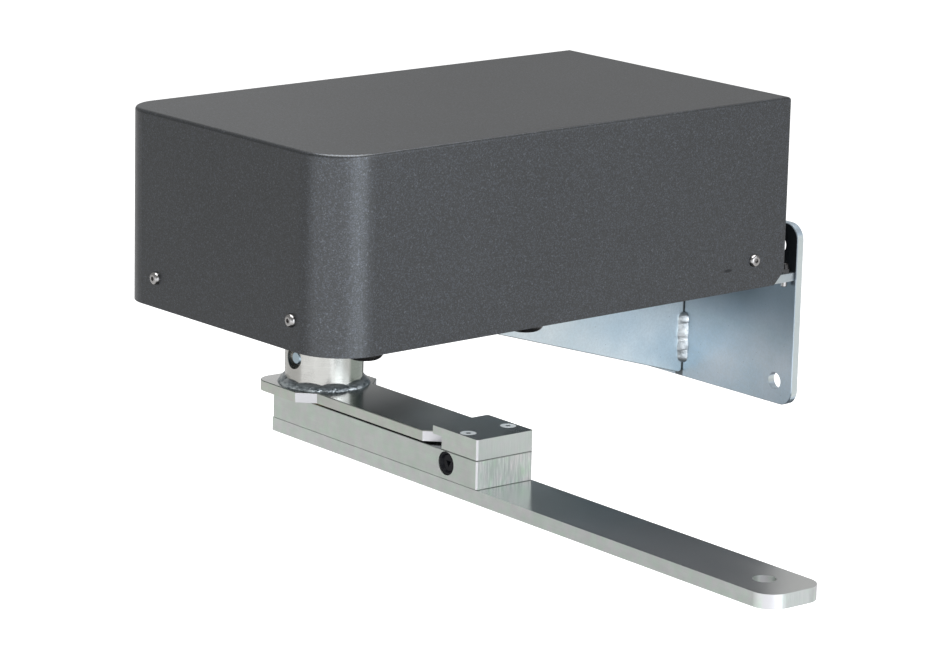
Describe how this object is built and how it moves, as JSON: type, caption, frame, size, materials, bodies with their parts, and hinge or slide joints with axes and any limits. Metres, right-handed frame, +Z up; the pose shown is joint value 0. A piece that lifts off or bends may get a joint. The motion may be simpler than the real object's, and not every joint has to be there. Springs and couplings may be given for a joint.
{
  "type": "articulated arm gate operator",
  "caption": "Gate operator: covered worm gearmotor on a wall bracket whose upright shaft turns a lever and a long flat arm with a key released lock.",
  "frame": {"origin": "centre of the wall plate's back face", "axes": "+Z up along the wall, -Y out of the wall towards the nose of the cover, +X along the wall towards the arm's tip at rest"},
  "size_m": [0.509, 0.3682, 0.1945],
  "materials": {
    "bracket_zinc": "bright zinc plate",
    "weld": "zinc plated weld bead",
    "cover_paint": "fine metallic powder coat",
    "bright_steel": "bright zinc",
    "black_screws": "black oxide",
    "cast_case": "die cast",
    "bronze": "turned bronze",
    "ground_steel": "ground",
    "seal_rubber": "moulded",
    "motor_paint": "satin",
    "lamination": "stacked sheet",
    "copper": "enamelled wire",
    "arm_zinc": "blue zinc plate",
    "black_plastic": "moulded",
    "capacitor_shell": "moulded",
    "brass_fittings": "turned",
    "board_green": "solder mask",
    "transformer_yellow": "taped",
    "relay_blue": "moulded",
    "terminal_green": "moulded"
  },
  "bodies": {
    "base": {"wall_plate": "bracket_zinc", "shelf_plate": "bracket_zinc", "gusset_plate": "bracket_zinc", "bracket_welds": "weld", "cover": "cover_paint", "cover_tabs": "bright_steel", "cover_screws": "bright_steel", "gear_case": "cast_case", "gear_case_lid": "cast_case", "lid_screws": "black_screws", "base_bolts": "black_screws", "lower_bush": "bronze", "upper_bush": "bronze", "shaft_seal": "seal_rubber", "bearing_outer_rings": "ground_steel", "motor_flange": "cast_case", "motor_flange_screws": "black_screws", "motor_housing": "motor_paint", "stator_core": "lamination", "stator_windings": "copper", "motor_end_bell": "cast_case", "end_bell_screws": "black_screws", "switch_bracket": "bright_steel", "limit_switches": "black_plastic", "capacitor": "capacitor_shell", "capacitor_nut": "bright_steel", "board_standoffs": "brass_fittings", "control_board": "board_green", "board_screws": "bright_steel", "mains_transformer": "transformer_yellow", "board_relays": "relay_blue", "terminal_block": "terminal_green", "cable_gland": "black_plastic", "gland_nut": "black_plastic", "corner_screws": "bright_steel", "corner_nuts": "black_screws"},
    "output": {"output_shaft": "ground_steel", "wheel_key": "ground_steel", "shaft_circlip": "ground_steel", "worm_wheel": "bronze", "limit_cams": "ground_steel", "hub_tube": "arm_zinc", "hub_cross_pin": "ground_steel", "hub_weld": "weld", "lever_plate": "arm_zinc", "pivot_screw": "black_screws"},
    "rotor": {"worm_shaft": "ground_steel", "rotor_core": "lamination", "bearing_inner_rings": "ground_steel"},
    "ball_sets": {"bearing_balls": "ground_steel"},
    "arm": {"arm_bar": "arm_zinc", "flat_bar": "arm_zinc", "end_block": "arm_zinc", "block_screws": "arm_zinc", "arm_rear_screws": "arm_zinc", "pivot_bush": "bronze", "thrust_washer": "bronze"},
    "barrel": {"release_barrel": "black_plastic"},
    "latch": {"latch_pin": "ground_steel", "latch_spring": "ground_steel"}
  },
  "joints": [
    {"name": "output_turn", "type": "hinge", "parent": "base", "child": "output", "pos_m": [0, -0.2908, 0], "axis": [0, 0, 1], "range_deg": [-125, 35]},
    {"name": "worm_turn", "type": "hinge", "parent": "base", "child": "rotor", "pos_m": [0.052, -0.2908, 0.08], "axis": [0, 1, 0], "range_deg": [-1400, 5000]},
    {"name": "ball_turn", "type": "hinge", "parent": "base", "child": "ball_sets", "pos_m": [0.052, -0.2908, 0.08], "axis": [0, 1, 0], "range_deg": [-532, 1900]},
    {"name": "arm_release", "type": "hinge", "parent": "output", "child": "arm", "pos_m": [0, -0.2908, 0], "axis": [0, 0, 1], "range_deg": [-90, 0]},
    {"name": "barrel_turn", "type": "hinge", "parent": "arm", "child": "barrel", "pos_m": [0.14114, -0.29506, -0.0334], "axis": [0.0302, 0.9995, 0], "range_deg": [0, 90]},
    {"name": "latch_slide", "type": "slide", "parent": "arm", "child": "latch", "axis": [0, 0, 1], "range_m": [0, 0.00509], "deforming": ["latch_spring"]}
  ],
  "couplings": [
    {"joint": "worm_turn", "follows": "output_turn", "ratio": -40},
    {"joint": "ball_turn", "follows": "output_turn", "ratio": -15.2},
    {"joint": "barrel_turn", "follows": "latch_slide", "rad_per_m": 308.57}
  ]
}
